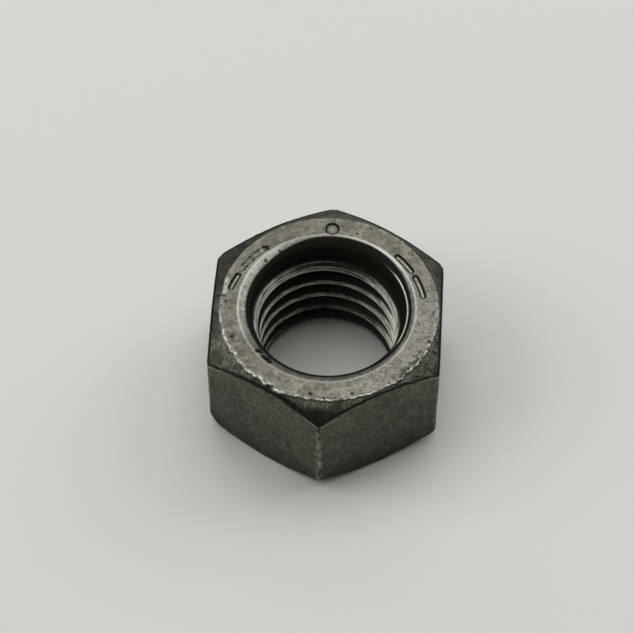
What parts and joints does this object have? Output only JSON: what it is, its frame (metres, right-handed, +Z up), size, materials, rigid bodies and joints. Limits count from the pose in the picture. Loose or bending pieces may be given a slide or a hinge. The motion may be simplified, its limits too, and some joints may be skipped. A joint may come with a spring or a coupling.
{
  "type": "hex nut",
  "caption": "Dark steel hexagon nut with chamfered ends, a countersunk right-hand threaded bore and stamped dash marks on its upper face.",
  "frame": {"origin": "centre of the lower bearing face, on the bore's axis", "axes": "+Z up along the bore's axis, towards the stamped end; two flats face +X and -X, and two corners point to +Y and -Y; the dot mark is on the +Y side"},
  "size_m": [0.0238, 0.0274, 0.0136],
  "materials": {
    "dark_steel": "satin"
  },
  "bodies": {
    "root": {"nut_body": "dark_steel"}
  },
  "joints": []
}
